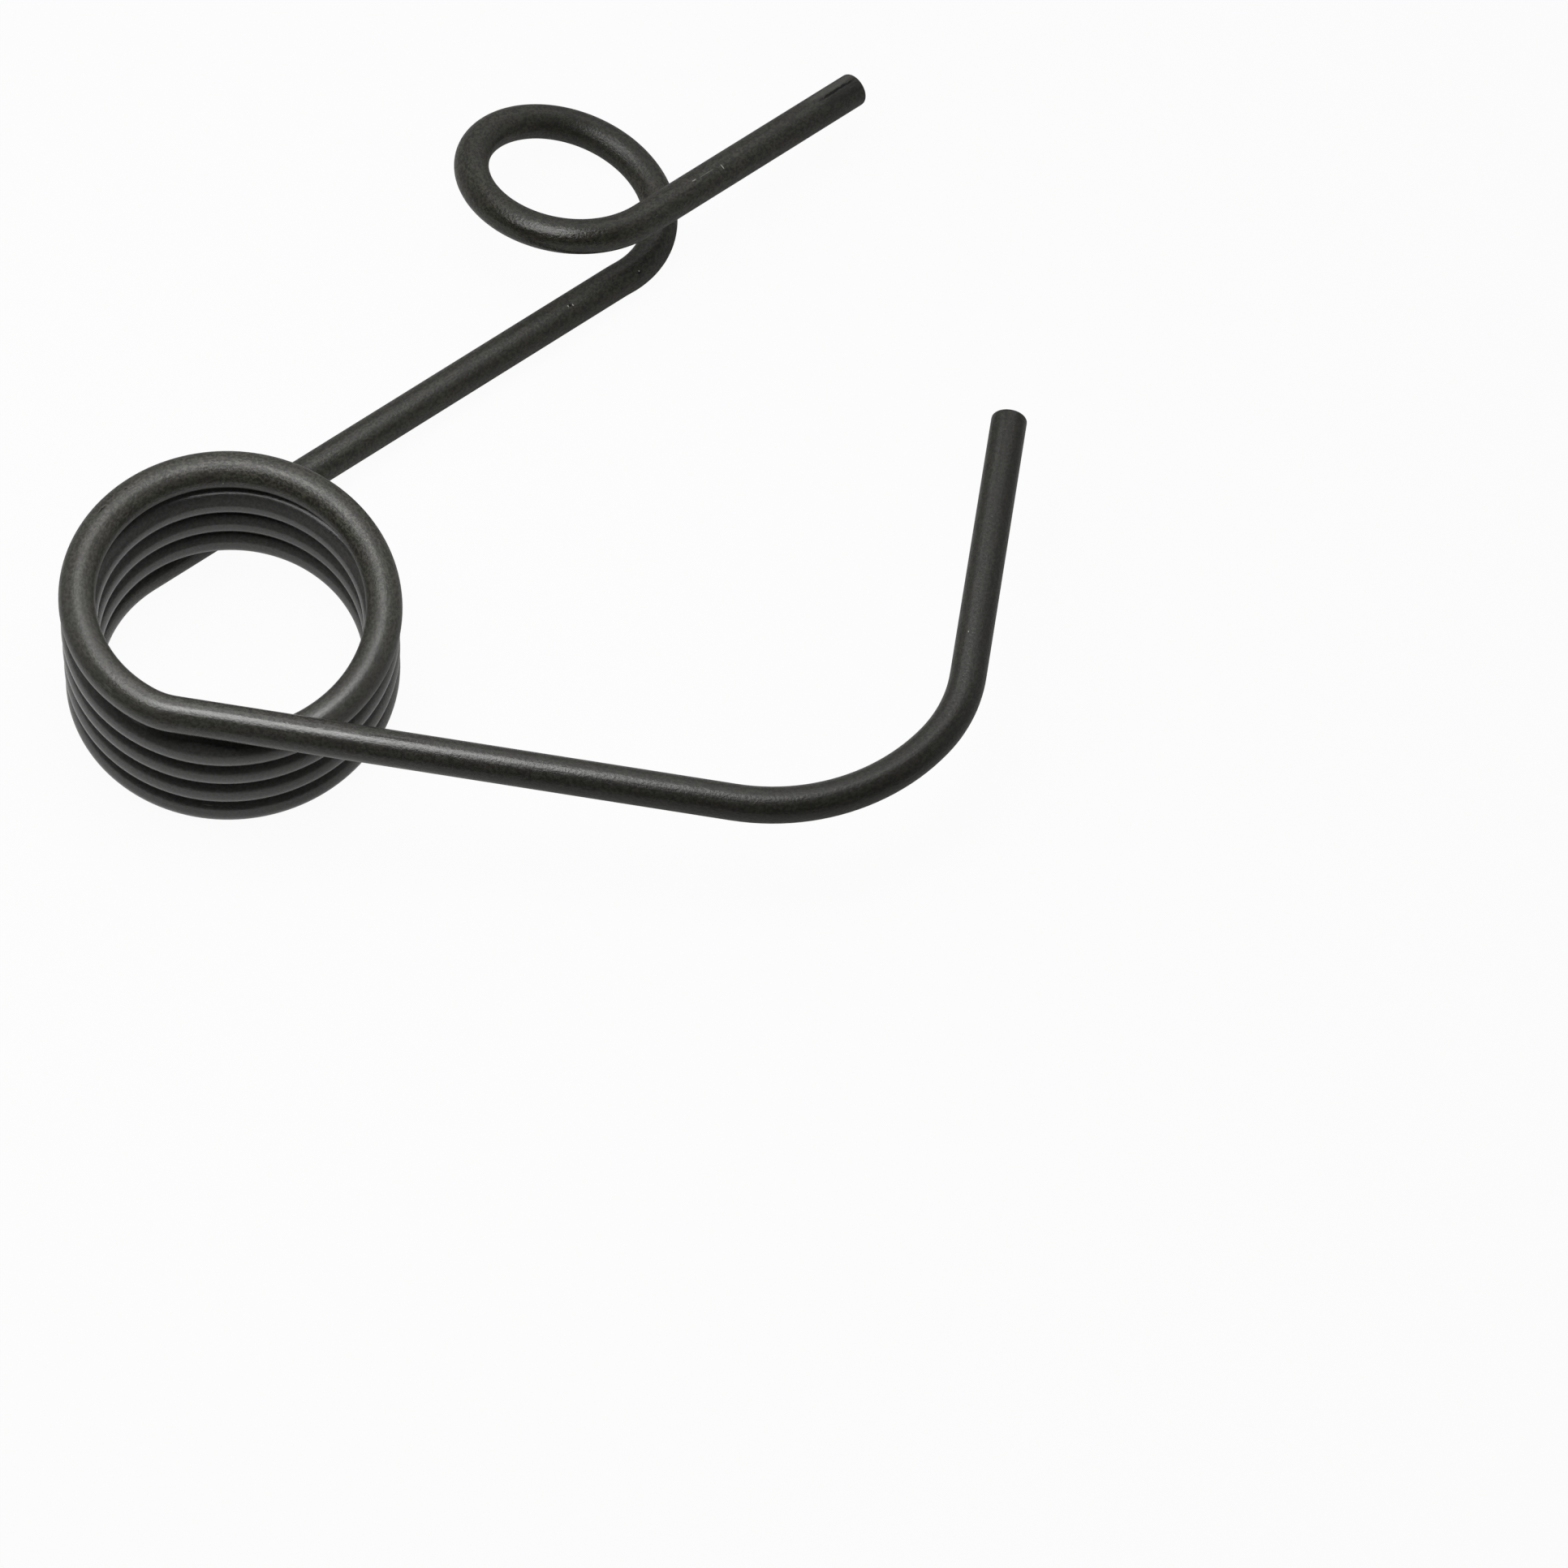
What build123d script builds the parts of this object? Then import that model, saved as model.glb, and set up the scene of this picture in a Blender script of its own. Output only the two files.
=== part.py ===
from build123d import *
from math import atan, atan2, cos, degrees, pi, radians, sin
import os

# Torsion spring, coiled and bent from one length of round wire.
# It is modelled as it comes to rest on a level surface, which is square to Z.
# The origin is the middle of the coil's body, on the coil's axis, and the top leg
# points towards +X. Millimetres and degrees.

# The wire
WIRE_DIAMETER = 5.0
END_CHAMFER = 0.4  # the two cut ends are dressed by this much

# The coil's body: close wound and right handed
COIL_BORE = 36.0  # inside diameter
TURN_GAP = 0.12  # daylight between one turn and the next
BODY_TURNS = 3.3

# The end turn at the top: slightly larger, and it opens away from the body
END_TURN_BORE = 36.4
END_TURN_GAP = 1.63
END_TURN_ANGLE = 362.5

# The top leg: it leaves the coil by a short bend and ends in a hook of two radii.
# The radius of every bend is the inside one.
ROOT_BEND_RADIUS = 7.5
ROOT_BEND_ANGLE = 23.4
ROOT_BEND_ROLL_ANGLE = -10.0
TOP_LEG_LENGTH = 75.5
HOOK_WIDE_RADIUS = 27.7
HOOK_WIDE_ANGLE = 57.7
HOOK_TIGHT_RADIUS = 18.3
HOOK_TIGHT_ANGLE = 31.3
HOOK_END_LENGTH = 41.9

# The lower leg: it leaves the coil straight, dips a little and winds one open eye
LOWER_LEG_LENGTH = 83.0
EYE_DIP_ANGLE = 6.3
EYE_BORE = 23.7  # inside diameter
EYE_GAP = 6.1  # rise of one turn of the eye, less the wire
EYE_TURN_ANGLE = 363.4
EYE_ROLL_ANGLE = -4.0
TAIL_LENGTH = 42.1

# How it lies: the coil's axis leans from the upright, in these two turns
LEAN_ANGLE_X = 5.35
LEAN_ANGLE_Y = 3.6


class WirePath:
    """The centre line of the wire, fed forward the way a spring former feeds it."""

    def __init__(self, start, heading):
        self.position = start
        self.heading = heading
        self.edges = []

    def feed(self, edge):
        """Add one tangent stretch and move to its end."""
        self.edges.append(edge)
        self.position = edge @ 1
        self.heading = (edge % 1).normalized()

    def upright(self, roll):
        """The direction square to the wire that is nearest to +Z, rolled about the wire."""
        right = self.heading.cross(Vector(0, 0, 1)).normalized()
        up = right.cross(self.heading)
        return up * cos(radians(roll)) + right * sin(radians(roll))

    def turning_plane(self, axis, radius):
        """The plane square to the axis of a left turn, with its centre on that axis."""
        outward = self.heading.cross(axis).normalized()
        return Plane(origin=self.position - outward * radius, x_dir=outward, z_dir=axis)

    def straight(self, length):
        self.feed(Line(self.position, self.position + self.heading * length))

    def bend(self, inside_radius, angle, roll=0.0):
        """A flat bend to the left. A roll below zero takes the wire down as well."""
        radius = inside_radius + WIRE_DIAMETER / 2
        plane = self.turning_plane(self.upright(roll), radius)
        self.feed(plane * CenterArc((0, 0), radius, 0, angle))

    def coil(self, bore, gap, angle, roll=0.0):
        """A right-handed helix to the left, that climbs by the wire and a gap each turn."""
        radius = (bore + WIRE_DIAMETER) / 2
        pitch = WIRE_DIAMETER + gap
        lead = atan(pitch / (2 * pi * radius))
        axis = self.upright(roll) * cos(lead) + self.heading * sin(lead)
        helix = Helix(pitch, pitch * angle / 360, radius)
        self.feed(self.turning_plane(axis, radius) * helix)


def coil_body():
    """The helix of the close-wound turns, with the origin in its middle."""
    pitch = WIRE_DIAMETER + TURN_GAP
    height = pitch * BODY_TURNS
    radius = (COIL_BORE + WIRE_DIAMETER) / 2
    return Helix(pitch, height, radius, center=(0, 0, -height / 2))


def top_path(body):
    """From the top of the body: the end turn, the leg and its hook."""
    path = WirePath(body @ 1, (body % 1).normalized())
    path.coil(END_TURN_BORE, END_TURN_GAP, END_TURN_ANGLE)
    path.bend(ROOT_BEND_RADIUS, ROOT_BEND_ANGLE, ROOT_BEND_ROLL_ANGLE)
    path.straight(TOP_LEG_LENGTH)
    path.bend(HOOK_WIDE_RADIUS, HOOK_WIDE_ANGLE)
    path.bend(HOOK_TIGHT_RADIUS, HOOK_TIGHT_ANGLE)
    path.straight(HOOK_END_LENGTH)
    return path


def lower_path(body):
    """From the bottom of the body, away from it: the leg, the eye and the tail."""
    path = WirePath(body @ 0, -(body % 0).normalized())
    path.straight(LOWER_LEG_LENGTH)
    path.bend(EYE_BORE / 2, EYE_DIP_ANGLE, roll=-90.0)
    path.coil(EYE_BORE, EYE_GAP, EYE_TURN_ANGLE, EYE_ROLL_ANGLE)
    path.straight(TAIL_LENGTH)
    return path


def wire_along(edges):
    """Round wire along tangent edges, with its two cut ends dressed."""
    path = Wire(edges)
    quarters = [CenterArc((0, 0), WIRE_DIAMETER / 2, start, 90) for start in (0, 90, 180, 270)]
    section = Plane(origin=path @ 0, z_dir=path % 0) * make_face(quarters)
    wire = sweep(section, path)
    cut_ends = wire.faces().filter_by(GeomType.PLANE)
    return chamfer(cut_ends.edges(), END_CHAMFER)


def spring():
    """The whole spring, turned as it lies with the top leg towards +X."""
    body = coil_body()
    top = top_path(body)
    lower = lower_path(body)
    wire = wire_along(lower.edges[::-1] + [body] + top.edges)
    leg = top.edges[2] % 0
    bearing = degrees(atan2(leg.Y, leg.X))
    return Rot(LEAN_ANGLE_X, LEAN_ANGLE_Y, 0) * Rot(0, 0, -bearing) * wire


if __name__ == "__main__":
    os.makedirs("parts", exist_ok=True)
    export_step(spring(), "parts/spring_wire.step")
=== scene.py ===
"""A torsion spring of black oil-tempered wire, lying on a pale studio floor.

Blender's objects are in metres. The wire's own sizes are in millimetres and degrees, as a
spring former is set.
"""

import sys
import logging
from collections.abc import Sequence
from dataclasses import dataclass, field
from enum import Enum
from math import atan, atan2, ceil, cos, pi, radians, sin, sqrt
from typing import ClassVar

import bpy
from mathutils import Matrix, Vector


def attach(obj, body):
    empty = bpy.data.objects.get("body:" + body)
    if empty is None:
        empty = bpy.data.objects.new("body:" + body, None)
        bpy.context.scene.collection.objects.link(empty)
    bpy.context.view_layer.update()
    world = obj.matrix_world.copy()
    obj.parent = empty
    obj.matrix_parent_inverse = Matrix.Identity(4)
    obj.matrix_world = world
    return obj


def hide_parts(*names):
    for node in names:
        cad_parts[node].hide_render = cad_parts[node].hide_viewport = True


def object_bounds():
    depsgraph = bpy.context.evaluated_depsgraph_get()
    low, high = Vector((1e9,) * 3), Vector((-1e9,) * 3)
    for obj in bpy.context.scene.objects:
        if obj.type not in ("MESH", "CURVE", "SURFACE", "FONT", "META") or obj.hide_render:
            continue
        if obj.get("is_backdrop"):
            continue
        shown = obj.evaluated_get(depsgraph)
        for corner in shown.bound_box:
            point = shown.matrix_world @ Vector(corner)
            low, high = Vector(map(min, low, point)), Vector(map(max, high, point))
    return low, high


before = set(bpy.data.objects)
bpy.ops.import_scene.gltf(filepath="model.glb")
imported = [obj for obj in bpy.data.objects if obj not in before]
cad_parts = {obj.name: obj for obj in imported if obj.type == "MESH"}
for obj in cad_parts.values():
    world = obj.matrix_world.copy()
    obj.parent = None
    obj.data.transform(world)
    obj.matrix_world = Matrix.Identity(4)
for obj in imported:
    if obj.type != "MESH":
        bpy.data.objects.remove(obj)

LOG = logging.getLogger("torsion_spring")
MM = 0.001
UP = Vector((0.0, 0.0, 1.0))
WHITE = (1.0, 1.0, 1.0, 1.0)

Socket = bpy.types.NodeSocket
Pair = tuple[float, float]
Triple = tuple[float, float, float]
Colour = tuple[float, float, float, float]


def place_in_scene(thing: bpy.types.Object) -> bpy.types.Object:
    """Link an object to the scene's own collection and hand it back."""
    bpy.context.scene.collection.objects.link(thing)
    return thing


class Stretch(Enum):
    """The three things a spring former can do with the wire."""

    STRAIGHT = "straight"
    BEND = "bend"
    COIL = "coil"


@dataclass(frozen=True)
class Feed:
    """One stretch of wire that leaves the former tangent to the stretch before it.

    Lengths are in millimetres and angles in degrees. Gap is the daylight between turns, and
    roll turns the bend's axis about the wire, from upright.
    """

    kind: Stretch
    length: float = 0.0
    inside_radius: float = 0.0
    angle: float = 0.0
    gap: float = 0.0
    roll: float = 0.0


@dataclass
class WirePath:
    """The centre line of the wire as a row of stations, grown stretch by stretch."""

    wire: float
    position: Vector
    heading: Vector
    turn_step: float = 2.5
    straight_step: float = 3.0
    stations: list[Vector] = field(default_factory=list)

    def upright(self, roll: float) -> Vector:
        """Find the direction square to the wire that is nearest to the vertical.

        Args:
            roll: degrees by which that direction is turned about the wire.

        Returns:
            The unit direction.
        """
        right = self.heading.cross(UP).normalized()
        up = right.cross(self.heading)
        return up * cos(radians(roll)) + right * sin(radians(roll))

    def turn(self, radius: float, angle: float, pitch: float, axis: Vector) -> None:
        """Add a left turn about an axis, flat or climbing.

        Args:
            radius: radius of the centre line.
            angle: how far it turns, in degrees.
            pitch: climb along the axis in one whole turn.
            axis: unit direction of the axis.
        """
        outward = self.heading.cross(axis).normalized()
        forward = axis.cross(outward)
        centre = self.position - outward * radius
        steps = max(3, ceil(angle / self.turn_step))
        for step in range(1, steps + 1):
            t = radians(angle) * step / steps
            spoke = outward * cos(t) + forward * sin(t)
            self.stations.append(centre + spoke * radius + axis * (pitch * t / (2 * pi)))
        t = radians(angle)
        rate = forward * cos(t) - outward * sin(t)
        self.position = self.stations[-1].copy()
        self.heading = (rate * radius + axis * (pitch / (2 * pi))).normalized()

    def straight(self, length: float) -> None:
        """Add a straight run.

        Args:
            length: how long it is.
        """
        steps = max(2, ceil(length / self.straight_step))
        for step in range(1, steps + 1):
            self.stations.append(self.position + self.heading * (length * step / steps))
        self.position = self.stations[-1].copy()

    def feed(self, feed: Feed) -> None:
        """Add the stations of one stretch and move to its end.

        Args:
            feed: the stretch to add.
        """
        radius = feed.inside_radius + self.wire / 2
        if feed.kind is Stretch.STRAIGHT:
            self.straight(feed.length)
        elif feed.kind is Stretch.BEND:
            self.turn(radius, feed.angle, 0.0, self.upright(feed.roll))
        else:
            pitch = self.wire + feed.gap
            lead = atan(pitch / (2 * pi * radius))
            axis = self.upright(feed.roll) * cos(lead) + self.heading * sin(lead)
            self.turn(radius, feed.angle, pitch, axis)


class NodeDesk:
    """Places nodes in rows and joins them, to keep a finish or a tree short to write."""

    COLUMNS: ClassVar[int] = 9
    SPACING: ClassVar[tuple[int, int]] = (190, -320)
    # The Mix node names its sockets alike for every kind of data, so the ones for colours
    # go by their numbers.
    MIX_SHARE, MIX_FIRST, MIX_SECOND, MIX_RESULT = 0, 6, 7, 2

    def __init__(self, tree: bpy.types.NodeTree) -> None:
        """Start on an empty node tree."""
        self.tree = tree
        self.count = 0

    def add(self, kind: str, **settings: object) -> bpy.types.Node:
        """Add one node.

        Args:
            kind: the node's type name.
            **settings: properties to set on the node.

        Returns:
            The node.
        """
        node = self.tree.nodes.new(kind)
        row, column = divmod(self.count, self.COLUMNS)
        node.location = (self.SPACING[0] * column, self.SPACING[1] * row)
        self.count += 1
        for name, value in settings.items():
            setattr(node, name, value)
        return node

    def join(self, source: object, target: Socket) -> None:
        """Link a socket, or write a plain value, into another socket.

        Args:
            source: a socket, number, vector or colour.
            target: the socket that takes it.
        """
        if isinstance(source, Socket):
            self.tree.links.new(source, target)
        else:
            target.default_value = source

    def maths(self, operation: str, *values: object) -> Socket:
        """Do one sum on numbers.

        Args:
            operation: the Math node's operation.
            *values: sockets or plain numbers.

        Returns:
            The result's socket.
        """
        node = self.add("ShaderNodeMath", operation=operation)
        for value, target in zip(values, node.inputs):
            self.join(value, target)
        return node.outputs[0]

    def vector(self, operation: str, *values: object) -> Socket:
        """Do one sum on vectors.

        Args:
            operation: the Vector Math node's operation.
            *values: sockets or plain triples.

        Returns:
            The result's socket: a number for a length or a dot product, otherwise a vector.
        """
        node = self.add("ShaderNodeVectorMath", operation=operation)
        for value, target in zip(values, node.inputs):
            self.join(value, target)
        number = operation in ("LENGTH", "DOT_PRODUCT")
        return node.outputs["Value" if number else "Vector"]

    def parts(self, vector: Socket) -> bpy.types.NodeOutputs:
        """Split a vector into its three numbers."""
        node = self.add("ShaderNodeSeparateXYZ")
        self.join(vector, node.inputs[0])
        return node.outputs

    def whole(self, *numbers: object) -> Socket:
        """Join three numbers into a vector."""
        node = self.add("ShaderNodeCombineXYZ")
        for number, target in zip(numbers, node.inputs):
            self.join(number, target)
        return node.outputs[0]

    def ramp(self, value: object, span: Pair, ends: Pair = (0.0, 1.0)) -> Socket:
        """Map a range of numbers onto another, smoothly and with clamped ends.

        Args:
            value: the number socket.
            span: the values that give the first and the last result.
            ends: those two results.

        Returns:
            The result's socket.
        """
        node = self.add("ShaderNodeMapRange", interpolation_type="SMOOTHSTEP")
        names = ("From Min", "From Max", "To Min", "To Max")
        for name, number in zip(names, (*span, *ends)):
            node.inputs[name].default_value = number
        self.join(value, node.inputs["Value"])
        return node.outputs["Result"]

    def blend(self, share: object, first: object, second: object, way: str = "MIX") -> Socket:
        """Mix two colours.

        Args:
            share: how much of the second one is seen, 0 to 1.
            first: colour or socket.
            second: colour or socket.
            way: the Mix node's blend type.

        Returns:
            The colour's socket.
        """
        node = self.add("ShaderNodeMix", data_type="RGBA", blend_type=way)
        self.join(share, node.inputs[self.MIX_SHARE])
        self.join(first, node.inputs[self.MIX_FIRST])
        self.join(second, node.inputs[self.MIX_SECOND])
        return node.outputs[self.MIX_RESULT]


@dataclass(frozen=True)
class Speckle:
    """A noise on the wire's own coordinate, about 0.5 on average.

    Scale is in waves a metre: along the wire, then twice across it.
    """

    scale: Triple
    detail: float = 2.0
    roughness: float = 0.5

    def read(self, desk: NodeDesk, wire: Socket) -> Socket:
        """Read the noise at each point of the wire.

        Args:
            desk: where the nodes go.
            wire: the wire coordinate, in metres.

        Returns:
            The noise's number socket.
        """
        node = desk.add("ShaderNodeTexNoise")
        desk.join(desk.vector("MULTIPLY", wire, self.scale), node.inputs["Vector"])
        node.inputs["Scale"].default_value = 1.0
        node.inputs["Detail"].default_value = self.detail
        node.inputs["Roughness"].default_value = self.roughness
        return node.outputs["Fac"]


@dataclass(frozen=True)
class Mark:
    """A small nick, pit or scratch on the wire.

    Its place is the distance along the wire from the tail's cut end, in millimetres, and
    the angle around the wire in degrees. Length runs along the wire and width across it.
    """

    # Share of its half-size within which a mark has its full strength.
    CORE: ClassVar[float] = 0.45

    along: float
    around: float
    length: float
    width: float
    strength: float = 1.0

    def share(self, desk: NodeDesk, place: Socket, radius: float) -> Socket:
        """Measure how far a point is inside the mark.

        Args:
            desk: where the nodes go.
            place: the wire coordinate, in metres.
            radius: the wire's radius, in metres.

        Returns:
            A socket that is the mark's strength in its middle and 0 outside it.
        """
        turn = radians(self.around)
        middle = (self.along * MM, radius * cos(turn), radius * sin(turn))
        along, across = 2 / (self.length * MM), 2 / (self.width * MM)
        offset = desk.vector("SUBTRACT", place, middle)
        spread = desk.vector("MULTIPLY", offset, (along, across, across))
        return desk.ramp(desk.vector("LENGTH", spread), (self.CORE, 1.0), (self.strength, 0.0))


@dataclass(frozen=True)
class WireMasks:
    """The number sockets that the wire's colour, gloss and relief have in common."""

    share: Socket
    coarse: Socket
    streak: Socket
    grain: Socket
    darker: Socket
    hollow: Socket
    bright: Socket


@dataclass(frozen=True)
class BlackWireFinish:
    """Oil-tempered spring wire: near-black scale with drawing lines, flecks and a satin gloss.

    Tones, coarse and roughness are stops along the wire: the distance from the tail's cut end,
    then the base colour, how coarse the scale is from 0 to 1, or the roughness. The base colours
    are partly the metal's own tone and partly painted light and shade: they go lighter or darker
    from stretch to stretch to follow how the light falls there, and the coil's body is painted
    much paler than the legs to make up for the shade between its turns. A span is the part of a
    noise over which its effect comes or goes, and a depth is how much of the dark colour that
    effect can bring. Smooth_grain is the share of the grain that stays where the scale is
    smooth, and a relief is a share of the bump's height. Lengths are in millimetres.
    """

    radius: float = 2.492
    length: float = 938.2
    # Base colours along the wire, with painted light and shade: the coil's body, 232 to 645 mm, is
    # painted much paler for the shade between its turns, and the top leg's root, 770 to 810 mm, is
    # painted paler where its highlight is strongest.
    tones_and_painted_light: tuple[tuple[float, Triple], ...] = (
        (0.0, (0.035, 0.035, 0.033)),
        (14.0, (0.037, 0.037, 0.035)),
        (24.0, (0.046, 0.046, 0.044)),
        (42.0, (0.046, 0.046, 0.044)),
        (52.0, (0.030, 0.030, 0.025)),
        (62.0, (0.034, 0.034, 0.029)),
        (72.0, (0.050, 0.050, 0.048)),
        (88.0, (0.042, 0.042, 0.039)),
        (98.0, (0.025, 0.025, 0.021)),
        (108.0, (0.033, 0.033, 0.029)),
        (118.0, (0.048, 0.048, 0.043)),
        (135.0, (0.043, 0.043, 0.039)),
        (150.0, (0.034, 0.034, 0.031)),
        (175.0, (0.036, 0.036, 0.033)),
        (212.0, (0.042, 0.042, 0.040)),
        (232.0, (0.105, 0.105, 0.105)),
        (645.0, (0.105, 0.105, 0.105)),
        (675.0, (0.057, 0.057, 0.056)),
        (705.0, (0.062, 0.062, 0.060)),
        (735.0, (0.056, 0.056, 0.054)),
        (770.0, (0.064, 0.064, 0.063)),
        (790.0, (0.054, 0.054, 0.055)),
        (810.0, (0.045, 0.045, 0.046)),
        (830.0, (0.036, 0.036, 0.036)),
        (850.0, (0.034, 0.034, 0.033)),
        (938.0, (0.032, 0.032, 0.030)),
    )
    coarse: tuple[Pair, ...] = (
        (0.0, 0.70), (20.0, 0.85), (70.0, 0.95), (110.0, 1.0), (150.0, 0.9),
        (205.0, 0.9), (235.0, 0.15), (650.0, 0.15), (685.0, 0.6), (705.0, 0.9),
        (740.0, 0.8), (760.0, 0.45), (785.0, 0.6), (938.0, 0.7),
    )
    roughness: tuple[Pair, ...] = (
        (0.0, 0.42), (42.0, 0.36), (50.0, 0.22), (66.0, 0.22), (78.0, 0.36),
        (98.0, 0.33), (118.0, 0.40), (212.0, 0.40), (235.0, 0.20), (650.0, 0.20),
        (680.0, 0.40), (705.0, 0.34), (735.0, 0.40), (758.0, 0.34), (768.0, 0.25),
        (785.0, 0.19), (802.0, 0.18), (818.0, 0.24), (850.0, 0.30), (938.0, 0.29),
    )
    olive_cast: Colour = (1.05, 1.08, 0.77, 1.0)
    brown_cast: Colour = (1.08, 0.98, 0.77, 1.0)
    dark: Colour = (0.007, 0.007, 0.006, 1.0)
    # Near-black for pits and short dark lines: partly dark scale, partly painted shade in their
    # hollows.
    pit: Colour = (0.004, 0.004, 0.004, 1.0)
    # Pale for worn nicks, and for the top leg's long streak, which is a painted highlight.
    pale: Colour = (0.55, 0.54, 0.50, 1.0)
    specular: float = 0.6
    streak: Speckle = Speckle((90.0, 2600.0, 2600.0), 3.0)
    grain: Speckle = Speckle((2300.0, 2700.0, 2700.0), 2.0, 0.6)
    fleck: Speckle = Speckle((700.0, 1500.0, 1500.0), 3.0, 0.6)
    cloud: Speckle = Speckle((70.0, 420.0, 420.0), 3.0, 0.6)
    tint: Speckle = Speckle((260.0, 620.0, 620.0), 2.0)
    jitter: Speckle = Speckle((1500.0, 1500.0, 1500.0), 2.0)
    tint_span: Pair = (0.42, 0.58)
    cloud_span: Pair = (0.48, 0.68)
    fleck_span: Pair = (0.50, 0.66)
    grain_span: Pair = (0.40, 0.60)
    cloud_depth: float = 0.45
    fleck_depth: float = 0.8
    grain_depth: float = 0.9
    smooth_grain: float = 0.14
    jitter_reach: float = 0.6
    grain_spread: float = 0.16
    streak_spread: float = 0.16
    dark_roughness: float = 0.12
    pit_roughness: float = 0.6
    pit_span: Pair = (0.6, 0.95)
    bump_strength: float = 0.7
    bump_height: float = 0.1
    streak_relief: float = 0.5
    pit_relief: float = -2.0
    # Pale marks: worn nicks, dots and scratches, a faint pale strip on the tail's upper edge by
    # its tip, and at 801.5 mm a long streak that paints a second highlight line along the top leg.
    nicks_and_painted_highlight: tuple[Mark, ...] = (
        Mark(27.6, -111, 0.17, 1.05, 0.9),
        Mark(32.7, -99, 0.95, 0.20, 0.6),
        Mark(30.4, -101.5, 3.8, 0.14, 0.22),
        Mark(4.5, -70, 14.0, 1.7, 0.09),
        Mark(144.3, -63, 0.20, 0.42, 0.8),
        Mark(143.6, -68, 0.20, 0.42, 0.8),
        Mark(132.4, -87, 0.30, 0.30),
        Mark(54.5, -115, 1.2, 0.16, 0.3),
        Mark(722.9, -77, 0.30, 0.30),
        Mark(266.7, -4.5, 1.5, 0.16, 0.3),
        Mark(769.8, 58, 2.6, 0.12, 0.12),
        Mark(770.3, 63, 2.2, 0.12, 0.12),
        Mark(769.3, 67, 1.8, 0.12, 0.10),
        Mark(901.7, -10, 0.24, 0.24, 0.7),
        Mark(801.5, 19, 4.0, 0.22, 0.15),
    )
    # Pits and short dark lines, sunk and dulled, and painted near-black: partly dark scale, partly
    # painted shade in their hollows.
    pits: tuple[Mark, ...] = (
        Mark(143.95, -65.5, 0.5, 0.5, 0.95),
        Mark(132.4, -91, 0.9, 0.8, 0.95),
        Mark(4.2, -94, 9.5, 0.60),
        Mark(2.5, -121, 14.0, 2.1, 0.50),
        Mark(741.4, 25, 1.8, 0.30, 0.9),
        Mark(739.2, 33, 1.6, 0.26, 0.9),
        Mark(808.5, 7, 10.0, 0.22, 0.5),
        Mark(736.9, 21, 0.5, 0.4, 0.8),
        Mark(41.2, -131, 0.5, 0.4, 0.8),
    )

    def along_wire(self, desk: NodeDesk, share: Socket, stops: Sequence[tuple]) -> Socket:
        """Change a colour or a number from stretch to stretch of the wire.

        Args:
            desk: where the nodes go.
            share: how far along the wire a point is, from 0 to 1.
            stops: pairs of a distance in millimetres and a colour or a number.

        Returns:
            The colour's socket.
        """
        ramp = desk.add("ShaderNodeValToRGB")
        desk.join(share, ramp.inputs[0])
        elements = ramp.color_ramp.elements
        while len(elements) < len(stops):
            elements.new(1.0)
        for element, (along, tone) in zip(elements, stops):
            element.position = min(along / self.length, 1.0)
            element.color = (*tone, 1.0) if isinstance(tone, tuple) else (tone, tone, tone, 1.0)
        return ramp.outputs[0]

    def most(self, desk: NodeDesk, marks: Sequence[Mark], place: Socket) -> Socket:
        """Join a row of marks into one mask.

        Args:
            desk: where the nodes go.
            marks: the marks.
            place: the wire coordinate, in metres.

        Returns:
            A socket with the greatest share of any of them.
        """
        shares = [mark.share(desk, place, self.radius * MM) for mark in marks]
        mask = shares[0]
        for share in shares[1:]:
            mask = desk.maths("MAXIMUM", mask, share)
        return mask

    def ragged(self, desk: NodeDesk, wire: Socket) -> Socket:
        """Push the wire coordinate about a little, so that what is read there has torn edges.

        Args:
            desk: where the nodes go.
            wire: the wire coordinate, in metres.

        Returns:
            The pushed coordinate's socket.
        """
        centred = desk.maths("SUBTRACT", self.jitter.read(desk, wire), 0.5)
        push = desk.maths("MULTIPLY", centred, self.jitter_reach * MM)
        return desk.vector("ADD", wire, desk.whole(push, push, push))

    def darkened(self, desk: NodeDesk, wire: Socket, coarse: Socket, grain: Socket) -> Socket:
        """Find how much the scale is darkened by worn clouds, flecks and grain.

        Args:
            desk: where the nodes go.
            wire: the wire coordinate, in metres.
            coarse: how coarse the scale is there.
            grain: the finest noise.

        Returns:
            A socket from 0, the plain tone, to 1, the darkest scale.
        """
        cloud = desk.ramp(self.cloud.read(desk, wire), self.cloud_span)
        cloud = desk.maths("MULTIPLY", desk.maths("MULTIPLY", cloud, coarse), self.cloud_depth)
        fleck = desk.ramp(self.fleck.read(desk, wire), self.fleck_span)
        fleck = desk.maths("MULTIPLY", desk.maths("MULTIPLY", fleck, coarse), self.fleck_depth)
        grain = desk.ramp(grain, self.grain_span, (self.grain_depth, 0.0))
        share = desk.maths("MULTIPLY_ADD", coarse, 1 - self.smooth_grain, self.smooth_grain)
        darker = desk.maths("MAXIMUM", cloud, fleck)
        return desk.maths("MAXIMUM", darker, desk.maths("MULTIPLY", grain, share))

    def masks(self, desk: NodeDesk, wire: Socket) -> WireMasks:
        """Read the noises, the stops and the marks once for the whole finish.

        Args:
            desk: where the nodes go.
            wire: the wire coordinate, in metres.

        Returns:
            The masks.
        """
        share = desk.maths("MULTIPLY", desk.parts(wire)[0], 1 / (self.length * MM))
        coarse = self.along_wire(desk, share, self.coarse)
        grain = self.grain.read(desk, wire)
        return WireMasks(
            share=share,
            coarse=coarse,
            streak=self.streak.read(desk, wire),
            grain=grain,
            darker=self.darkened(desk, wire, coarse, grain),
            hollow=self.most(desk, self.pits, self.ragged(desk, wire)),
            bright=self.most(desk, self.nicks_and_painted_highlight, wire),
        )

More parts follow.
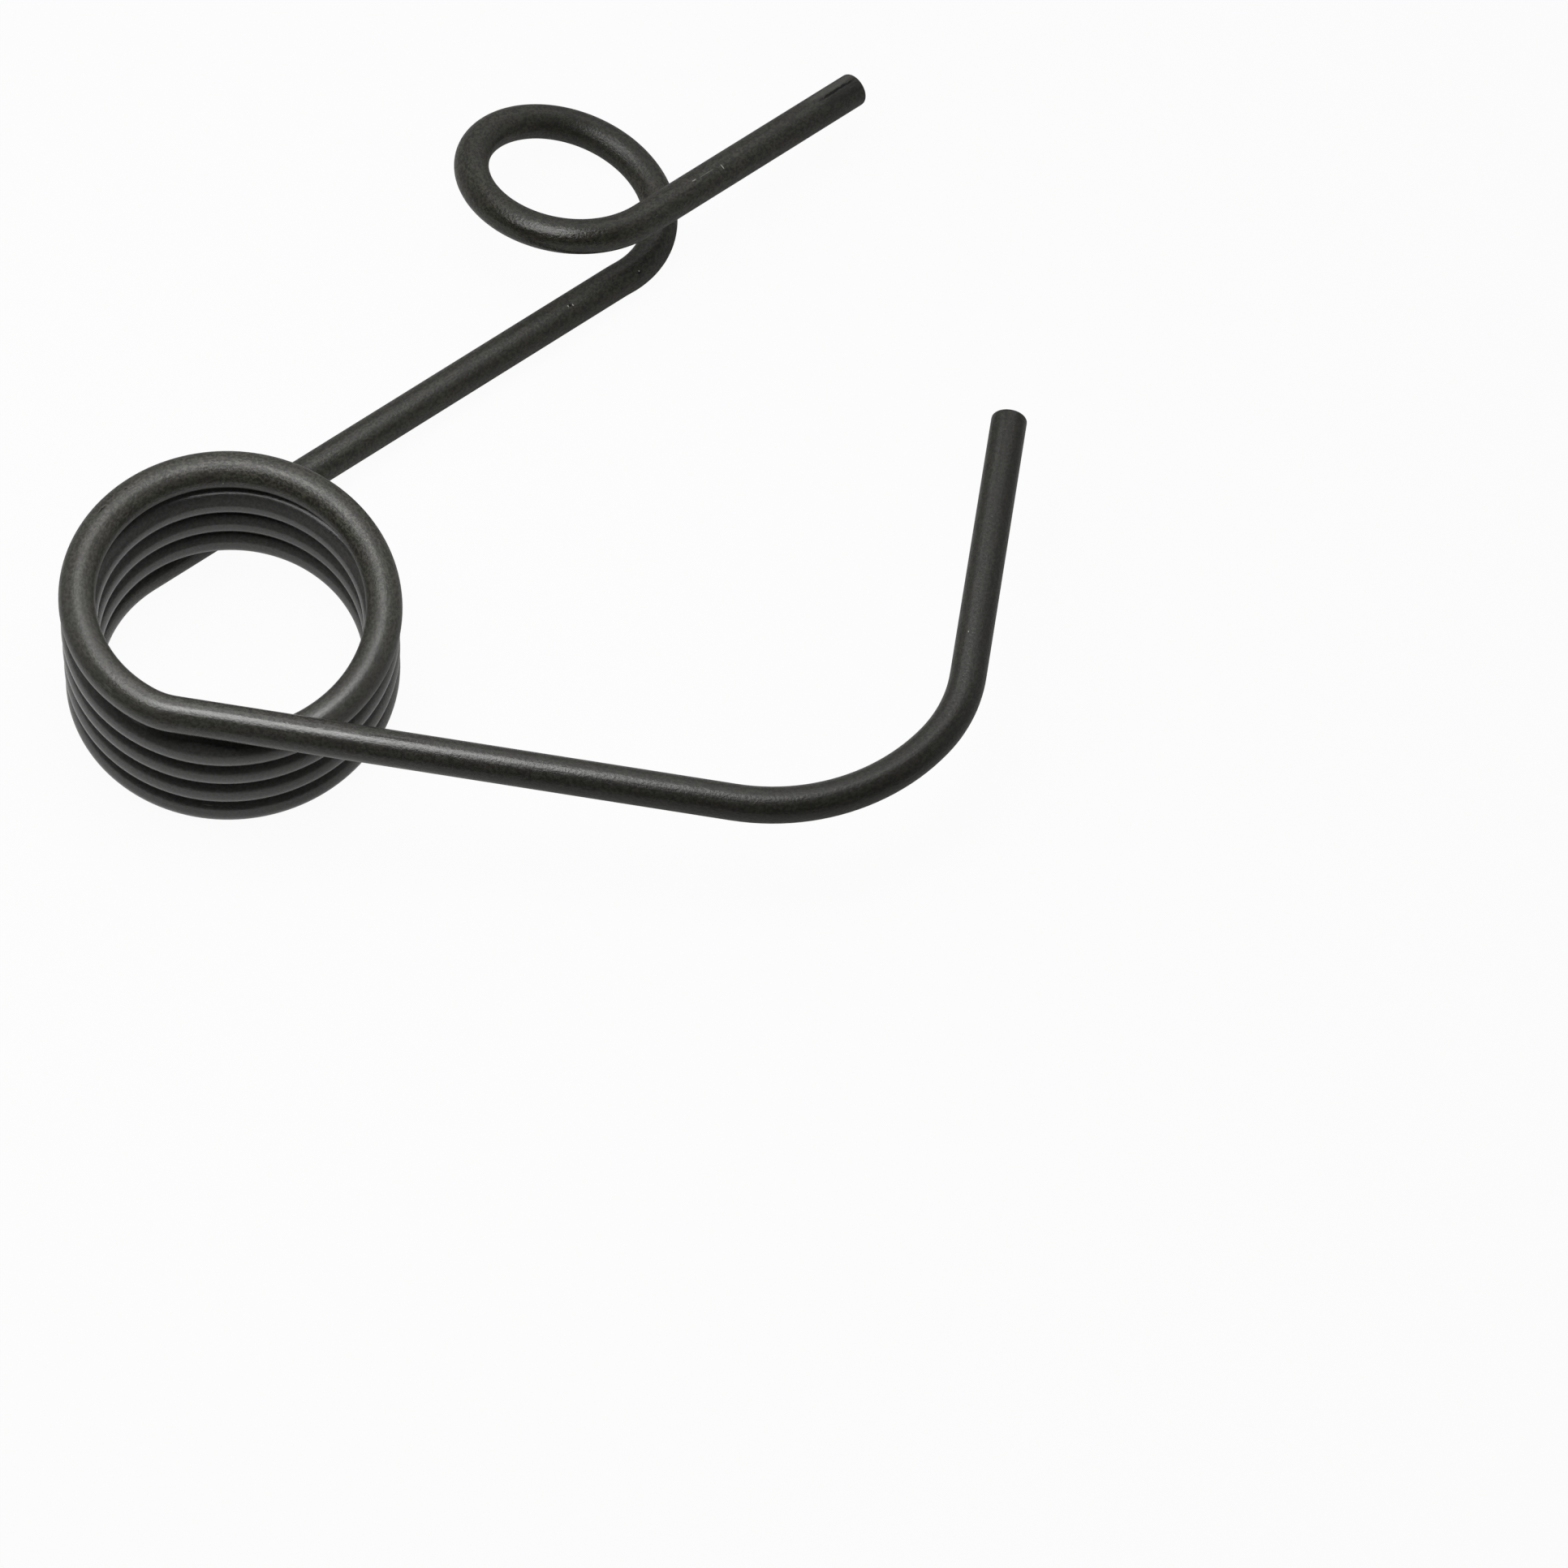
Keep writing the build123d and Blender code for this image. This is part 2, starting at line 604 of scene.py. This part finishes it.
    def colour(self, desk: NodeDesk, wire: Socket, masks: WireMasks) -> Socket:
        """Mix the wire's colour, with painted light and shade in its tones and its pits.

        Args:
            desk: where the nodes go.
            wire: the wire coordinate, in metres.
            masks: the finish's masks.

        Returns:
            The colour's socket.
        """
        tint = desk.ramp(self.tint.read(desk, wire), self.tint_span)
        cast = desk.blend(tint, self.olive_cast, self.brown_cast)
        # The tones carry painted light and shade along the wire as well as the metal's own tone.
        tone = self.along_wire(desk, masks.share, self.tones_and_painted_light)
        shade = desk.blend(masks.coarse, tone, cast, "MULTIPLY")
        shade = desk.blend(masks.darker, shade, self.dark)
        # Pits and short dark lines are painted near-black: partly dark scale, partly painted shade
        # in their hollows.
        shade = desk.blend(masks.hollow, shade, self.pit)
        # Worn nicks are painted pale, and the top leg's long streak is a painted highlight.
        return desk.blend(masks.bright, shade, self.pale)

    def gloss(self, desk: NodeDesk, masks: WireMasks) -> Socket:
        """Work out the roughness, which grain and drawing lines vary about its stops.

        Args:
            desk: where the nodes go.
            masks: the finish's masks.

        Returns:
            The roughness's socket.
        """
        base = self.along_wire(desk, masks.share, self.roughness)
        base = desk.maths("ADD", base, -self.grain_spread / 2)
        rough = desk.maths("MULTIPLY_ADD", masks.grain, self.grain_spread, base)
        lines = desk.maths("SUBTRACT", masks.streak, 0.5)
        lines = desk.maths("MULTIPLY", lines, self.streak_spread)
        rough = desk.maths("ADD", rough, desk.maths("MULTIPLY", lines, masks.coarse))
        rough = desk.maths("MULTIPLY_ADD", masks.darker, self.dark_roughness, rough)
        dull = desk.ramp(masks.hollow, self.pit_span, (0.0, self.pit_roughness))
        return desk.maths("ADD", rough, dull)

    def relief(self, desk: NodeDesk, masks: WireMasks) -> Socket:
        """Raise the grain and the drawing lines a little, and sink the pits.

        Args:
            desk: where the nodes go.
            masks: the finish's masks.

        Returns:
            The normal's socket.
        """
        height = desk.maths("MULTIPLY_ADD", masks.streak, self.streak_relief, masks.grain)
        height = desk.maths("MULTIPLY", height, masks.coarse)
        height = desk.maths("MULTIPLY_ADD", masks.hollow, self.pit_relief, height)
        bump = desk.add("ShaderNodeBump")
        bump.inputs["Strength"].default_value = self.bump_strength
        bump.inputs["Distance"].default_value = self.bump_height * MM
        desk.join(height, bump.inputs["Height"])
        return bump.outputs["Normal"]

    def material(self) -> bpy.types.Material:
        """Build the finish from nodes on the wire's own coordinate.

        Returns:
            The material.
        """
        material = bpy.data.materials.new("black_wire")
        material.use_nodes = True
        material.node_tree.nodes.clear()
        desk = NodeDesk(material.node_tree)
        wire = desk.add("ShaderNodeAttribute", attribute_name="wire_coord").outputs["Vector"]
        masks = self.masks(desk, wire)
        shader = desk.add("ShaderNodeBsdfPrincipled")
        shader.inputs["Specular IOR Level"].default_value = self.specular
        desk.join(self.colour(desk, wire, masks), shader.inputs["Base Color"])
        desk.join(self.gloss(desk, masks), shader.inputs["Roughness"])
        desk.join(self.relief(desk, masks), shader.inputs["Normal"])
        desk.join(shader.outputs[0], desk.add("ShaderNodeOutputMaterial").inputs["Surface"])
        return material


@dataclass
class SpringWire:
    """The whole spring: one length of round wire. Millimetres and degrees.

    The body of close turns is wound first, about the vertical. The wire then grows from its
    upper end to the hook and from its lower end to the tail. Lean is how the spring tips as
    it rests, and clearance is how much thinner its wire is than the solid that it stands for.
    """

    wire: float = 5.0
    coil_bore: float = 36.0
    turn_gap: float = 0.12
    body_turns: float = 3.3
    end_turn: Feed = Feed(Stretch.COIL, inside_radius=18.2, angle=362.5, gap=1.63)
    root_bend: Feed = Feed(Stretch.BEND, inside_radius=7.5, angle=23.4, roll=-10.0)
    top_leg: Feed = Feed(Stretch.STRAIGHT, length=75.5)
    hook_wide: Feed = Feed(Stretch.BEND, inside_radius=27.7, angle=57.7)
    hook_tight: Feed = Feed(Stretch.BEND, inside_radius=18.3, angle=31.3)
    hook_end: Feed = Feed(Stretch.STRAIGHT, length=41.9)
    lower_leg: Feed = Feed(Stretch.STRAIGHT, length=83.0)
    eye_dip: Feed = Feed(Stretch.BEND, inside_radius=11.85, angle=6.3, roll=-90.0)
    eye: Feed = Feed(Stretch.COIL, inside_radius=11.85, angle=363.4, gap=6.1, roll=-4.0)
    tail: Feed = Feed(Stretch.STRAIGHT, length=42.1)
    lean_x: float = 5.35
    lean_y: float = 3.6
    end_rounding: float = 0.62
    rounding_rings: int = 5
    clearance: float = 0.016
    sides: int = 56

    def body(self) -> tuple[WirePath, WirePath]:
        """Wind the close turns about the vertical, with the origin in their middle.

        Returns:
            The body's path, and a path that sets out from its lower end the other way.
        """
        radius = (self.coil_bore + self.wire) / 2
        pitch = self.wire + self.turn_gap
        start = Vector((radius, 0.0, -pitch * self.body_turns / 2))
        heading = Vector((0.0, radius, pitch / (2 * pi))).normalized()
        path = WirePath(self.wire, start, heading, stations=[start.copy()])
        path.turn(radius, 360 * self.body_turns, pitch, UP)
        return path, WirePath(self.wire, start, -heading)

    def centre_line(self) -> list[Vector]:
        """Join the stretches and lay the spring as it rests.

        Returns:
            The stations from the tail's cut end to the hook's, in millimetres.
        """
        body, lower = self.body()
        top = WirePath(self.wire, body.position, body.heading)
        for feed in (self.end_turn, self.root_bend, self.top_leg):
            top.feed(feed)
        bearing = atan2(top.heading.y, top.heading.x)
        for feed in (self.hook_wide, self.hook_tight, self.hook_end):
            top.feed(feed)
        for feed in (self.lower_leg, self.eye_dip, self.eye, self.tail):
            lower.feed(feed)
        line = lower.stations[::-1] + body.stations + top.stations
        lay = Matrix.Rotation(radians(self.lean_x), 3, "X")
        lay = lay @ Matrix.Rotation(radians(self.lean_y), 3, "Y")
        lay = lay @ Matrix.Rotation(-bearing, 3, "Z")
        return [lay @ point for point in line]

    def girth(self, from_end: float) -> float:
        """Give the wire's thickness near a cut end, whose edge is rounded.

        Args:
            from_end: distance from the cut, in millimetres.

        Returns:
            The share of the full radius.
        """
        lost = self.end_rounding
        if from_end >= lost:
            return 1.0
        return 1.0 - (lost - sqrt(lost * lost - (lost - from_end) ** 2)) / (self.wire / 2)

    def end_rings(self, tip: Vector, inner: Vector) -> list[Vector]:
        """Place the stations that round off a cut end.

        Args:
            tip: the middle of the cut.
            inner: a station further in.

        Returns:
            The stations, from the cut inwards.
        """
        towards = (inner - tip).normalized()
        rings = []
        for ring in range(self.rounding_rings + 1):
            turn = radians(90 * ring / self.rounding_rings)
            rings.append(tip + towards * (self.end_rounding * (1 - cos(turn))))
        return rings

    def guide(self) -> bpy.types.Object:
        """Make the centre line as a chain of edges that carries what the sweep needs.

        Returns:
            The object, with the distance along the wire and the girth on its points.
        """
        line = self.centre_line()
        first = self.end_rings(line[0], line[1])
        last = self.end_rings(line[-1], line[-2])
        line = first + line[1:-1] + last[::-1]
        along = [0.0]
        for a, b in zip(line, line[1:]):
            along.append(along[-1] + (b - a).length)
        girth = [self.girth(min(s, along[-1] - s)) for s in along]
        mesh = bpy.data.meshes.new("spring_wire_form")
        mesh.from_pydata([p * MM for p in line], [(i, i + 1) for i in range(len(line) - 1)], [])
        for name, values in (("wire_along", [s * MM for s in along]), ("wire_girth", girth)):
            layer = mesh.attributes.new(name, "FLOAT", "POINT")
            layer.data.foreach_set("value", values)
        return place_in_scene(bpy.data.objects.new("spring_wire_form", mesh))

    def empty_tree(self) -> bpy.types.NodeTree:
        """Start the sweep's node tree.

        Returns:
            The tree, with the wire's diameter, its number of sides and its finish as inputs.
        """
        tree = bpy.data.node_groups.new("round_wire", "GeometryNodeTree")
        for name, way, kind in (
            ("Centre Line", "INPUT", "Geometry"),
            ("Wire Diameter", "INPUT", "Float"),
            ("Sides", "INPUT", "Int"),
            ("Finish", "INPUT", "Material"),
            ("Wire", "OUTPUT", "Geometry"),
        ):
            tree.interface.new_socket(name, in_out=way, socket_type="NodeSocket" + kind)
        return tree

    def sweep_tree(self) -> bpy.types.NodeTree:
        """Build the node tree that draws round wire along a chain of edges.

        A ring is swept along the chain. Each point of the wire keeps its distance along the
        wire and its place on the ring as the wire coordinate, which the finish reads.

        Returns:
            The tree.
        """
        tree = self.empty_tree()
        desk = NodeDesk(tree)
        given = desk.add("NodeGroupInput").outputs
        half = desk.maths("MULTIPLY", given["Wire Diameter"], 0.5)
        girth = desk.add("GeometryNodeInputNamedAttribute", data_type="FLOAT")
        girth.inputs["Name"].default_value = "wire_girth"
        along = desk.add("GeometryNodeInputNamedAttribute", data_type="FLOAT")
        along.inputs["Name"].default_value = "wire_along"
        line = desk.add("GeometryNodeMeshToCurve")
        desk.join(given["Centre Line"], line.inputs["Mesh"])
        ring = desk.add("GeometryNodeCurvePrimitiveCircle")
        desk.join(given["Sides"], ring.inputs["Resolution"])
        ring.inputs["Radius"].default_value = 1.0
        keep = desk.add("GeometryNodeCaptureAttribute")
        keep.capture_items.new("VECTOR", "Spoke")
        desk.join(ring.outputs["Curve"], keep.inputs["Geometry"])
        desk.join(desk.add("GeometryNodeInputPosition").outputs[0], keep.inputs["Spoke"])
        sweep = desk.add("GeometryNodeCurveToMesh")
        desk.join(line.outputs["Curve"], sweep.inputs["Curve"])
        desk.join(keep.outputs["Geometry"], sweep.inputs["Profile Curve"])
        desk.join(desk.maths("MULTIPLY", half, girth.outputs["Attribute"]), sweep.inputs["Scale"])
        sweep.inputs["Fill Caps"].default_value = True
        spoke = desk.parts(keep.outputs["Spoke"])
        across = [desk.maths("MULTIPLY", half, spoke[i]) for i in (0, 1)]
        store = desk.add(
            "GeometryNodeStoreNamedAttribute", data_type="FLOAT_VECTOR", domain="POINT"
        )
        store.inputs["Name"].default_value = "wire_coord"
        desk.join(sweep.outputs["Mesh"], store.inputs["Geometry"])
        desk.join(desk.whole(along.outputs["Attribute"], *across), store.inputs["Value"])
        smooth = desk.add("GeometryNodeSetShadeSmooth")
        desk.join(store.outputs["Geometry"], smooth.inputs["Geometry"])
        real = desk.add("GeometryNodeRealizeInstances")
        desk.join(smooth.outputs["Geometry"], real.inputs["Geometry"])
        paint = desk.add("GeometryNodeSetMaterial")
        desk.join(real.outputs["Geometry"], paint.inputs["Geometry"])
        desk.join(given["Finish"], paint.inputs["Material"])
        desk.join(paint.outputs["Geometry"], desk.add("NodeGroupOutput").inputs["Wire"])
        return tree

    def build(self, finish: BlackWireFinish) -> bpy.types.Object:
        """Sweep the wire, dress it and hand it to the frame.

        Args:
            finish: the wire's finish.

        Returns:
            The finished piece, a plain mesh at the origin.
        """
        diameter = (self.wire - self.clearance) * MM
        given = {"Wire Diameter": diameter, "Sides": self.sides, "Finish": finish.material()}
        part = self.guide()
        form = part.modifiers.new("round_wire", "NODES")
        form.node_group = self.sweep_tree()
        for item in form.node_group.interface.items_tree:
            if item.item_type == "SOCKET" and item.in_out == "INPUT" and item.name in given:
                form[item.identifier] = given[item.name]
        bpy.context.view_layer.update()
        depsgraph = bpy.context.evaluated_depsgraph_get()
        mesh = bpy.data.meshes.new_from_object(
            part.evaluated_get(depsgraph), preserve_all_data_layers=True, depsgraph=depsgraph
        )
        part.modifiers.clear()
        part.data = mesh
        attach(part, "root")
        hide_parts("spring_wire")
        return part


@dataclass(frozen=True)
class Lamp:
    """A soft rectangular lamp that hangs face down. Metres; a radiance of 1 is white."""

    name: str
    place: Triple
    size: Pair
    radiance: float

    def hang(self) -> None:
        """Create the lamp and link it to the scene."""
        light = bpy.data.lights.new(self.name, "AREA")
        light.shape = "RECTANGLE"
        light.size, light.size_y = self.size
        light.energy = self.radiance * pi * self.size[0] * self.size[1]
        place_in_scene(bpy.data.objects.new(self.name, light)).location = self.place


@dataclass
class Studio:
    """A pale floor, soft lamps and a quiet room. Metres; a glow of 1 is white.

    The camera sees floor and room as white. A mirror sees the floor's glow only in a pool by
    the coil, and the room as dim, apart from a soft patch of glow high up behind the spring.
    Room is its light in front and behind. The room's spans are parts of a unit direction.
    """

    floor_height: float
    centre: Pair = (0.04, 0.045)
    floor_reach: float = 3.0
    floor_colour: Colour = (0.54, 0.54, 0.53, 1.0)
    floor_glow: float = 0.955
    floor_mirror_glow: float = 0.55
    pool: Pair = (-0.03, -0.03)
    pool_span: Pair = (0.03, 0.088)
    room: Pair = (0.03, 0.31)
    room_front_to_back: Pair = (-0.65, 0.25)
    room_height_span: Pair = (0.50, 0.85)
    patch_glow: float = 0.72
    patch_way: Triple = (0.22, 0.62, 0.77)
    patch_span: Pair = (0.86, 0.97)
    lamps: tuple[Lamp, ...] = (
        Lamp("overhead_lamp", (0.025, 0.045, 0.40), (0.18, 0.18), 4.6),
        Lamp("near_lamp", (-0.015, -0.0225, 0.18), (0.165, 0.11), 3.6),
        Lamp("side_lamp", (-0.035, 0.125, 0.18), (0.11, 0.165), 1.1),
    )

    def floor_material(self) -> bpy.types.Material:
        """Make a matt floor that keeps the shadow and glows for the camera.

        Returns:
            The material.
        """
        material = bpy.data.materials.new("pale_floor")
        material.use_nodes = True
        material.node_tree.nodes.clear()
        desk = NodeDesk(material.node_tree)
        matt = desk.add("ShaderNodeBsdfDiffuse")
        matt.inputs["Color"].default_value = self.floor_colour
        glow = desk.add("ShaderNodeEmission")
        glow.inputs["Color"].default_value = WHITE
        ray = desk.add("ShaderNodeLightPath").outputs
        place = desk.add("ShaderNodeTexCoord").outputs["Object"]
        spot = desk.vector("SUBTRACT", place, (*self.pool, self.floor_height))
        spot = desk.vector("LENGTH", spot)
        pool = desk.ramp(spot, self.pool_span, (self.floor_mirror_glow, 0.0))
        bounced = desk.maths("MAXIMUM", ray["Is Glossy Ray"], ray["Is Transmission Ray"])
        bounced = desk.maths("MULTIPLY", bounced, pool)
        seen = desk.maths("MULTIPLY", ray["Is Camera Ray"], self.floor_glow)
        mix = desk.add("ShaderNodeMixShader")
        desk.join(desk.maths("MAXIMUM", seen, bounced), mix.inputs[0])
        desk.join(matt.outputs[0], mix.inputs[1])
        desk.join(glow.outputs[0], mix.inputs[2])
        desk.join(mix.outputs[0], desk.add("ShaderNodeOutputMaterial").inputs["Surface"])
        return material

    def floor(self) -> bpy.types.Object:
        """Lay the floor.

        Returns:
            The floor's object.
        """
        x, y = self.centre
        corners = [
            (x + i * self.floor_reach, y + j * self.floor_reach, self.floor_height)
            for i, j in ((-1, -1), (1, -1), (1, 1), (-1, 1))
        ]
        mesh = bpy.data.meshes.new("studio_floor")
        mesh.from_pydata(corners, [], [(0, 1, 2, 3)])
        mesh.materials.append(self.floor_material())
        floor = place_in_scene(bpy.data.objects.new("studio_floor", mesh))
        floor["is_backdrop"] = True
        return floor

    def world(self) -> None:
        """Make the room, lighter behind than in front, dark overhead, and white for the camera."""
        world = bpy.data.worlds.new("studio_room")
        world.use_nodes = True
        bpy.context.scene.world = world
        world.node_tree.nodes.clear()
        desk = NodeDesk(world.node_tree)
        ray = desk.add("ShaderNodeLightPath").outputs
        way = desk.add("ShaderNodeTexCoord").outputs["Generated"]
        axis = desk.parts(way)
        low = desk.ramp(axis["Z"], self.room_height_span, (1.0, 0.0))
        rear = desk.ramp(axis["Y"], self.room_front_to_back, self.room)
        facing = desk.vector("DOT_PRODUCT", way, Vector(self.patch_way).normalized())
        patch = desk.ramp(facing, self.patch_span, (0.0, self.patch_glow))
        wall = desk.maths("MULTIPLY_ADD", low, rear, patch)
        back = desk.add("ShaderNodeBackground")
        back.inputs["Color"].default_value = WHITE
        desk.join(desk.maths("MAXIMUM", ray["Is Camera Ray"], wall), back.inputs["Strength"])
        desk.join(back.outputs[0], desk.add("ShaderNodeOutputWorld").inputs["Surface"])

    def build(self) -> None:
        """Put up the floor, the lamps and the room."""
        self.floor()
        for lamp in self.lamps:
            lamp.hang()
        self.world()


@dataclass(frozen=True)
class Viewpoint:
    """Where the camera stands: it looks at a point on the floor from a distance.

    Aim, distance and clip are in metres, lens and sensor in millimetres, angles in degrees.
    """

    aim: Triple = (0.0768775, -0.0052010, -0.0107043)
    distance: float = 0.943177
    elevation: float = 55.888
    bearing: float = -82.0355
    roll: float = -0.2865
    lens: float = 158.313
    sensor: float = 36.0
    clip: Pair = (0.01, 50.0)

    def matrix(self) -> Matrix:
        """Work out the camera's place and direction.

        Returns:
            The camera's matrix.
        """
        e, b = radians(self.elevation), radians(self.bearing)
        back = Vector((cos(e) * cos(b), cos(e) * sin(b), sin(e)))
        right = UP.cross(back).normalized()
        up = back.cross(right)
        c, s = cos(radians(self.roll)), sin(radians(self.roll))
        turned = right * c + up * s, up * c - right * s, back
        matrix = Matrix(turned).transposed().to_4x4()
        matrix.translation = Vector(self.aim) + back * self.distance
        return matrix

    def build(self) -> bpy.types.Object:
        """Create the camera and make it the scene's own.

        Returns:
            The camera.
        """
        data = bpy.data.cameras.new("studio_camera")
        data.sensor_fit = "AUTO"
        data.sensor_width = self.sensor
        data.lens = self.lens
        data.clip_start, data.clip_end = self.clip
        camera = place_in_scene(bpy.data.objects.new("studio_camera", data))
        camera.matrix_world = self.matrix()
        bpy.context.scene.camera = camera
        return camera


def main() -> None:
    """Build the spring and its studio in order."""
    logging.basicConfig(level=logging.INFO, format="%(name)s: %(message)s", stream=sys.stdout)
    cad_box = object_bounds()
    spring = SpringWire().build(BlackWireFinish())
    shape = spring.data
    LOG.info("%s: %d vertices, %d faces", spring.name, len(shape.vertices), len(shape.polygons))
    studio = Studio(floor_height=cad_box[0][2])
    studio.build()
    LOG.info("studio: floor at %.5f m", studio.floor_height)
    camera = Viewpoint().build()
    LOG.info("camera: %s", tuple(round(v, 4) for v in camera.matrix_world.translation))
    bpy.context.scene.view_settings.view_transform = "Standard"


if __name__ == "__main__":
    main()
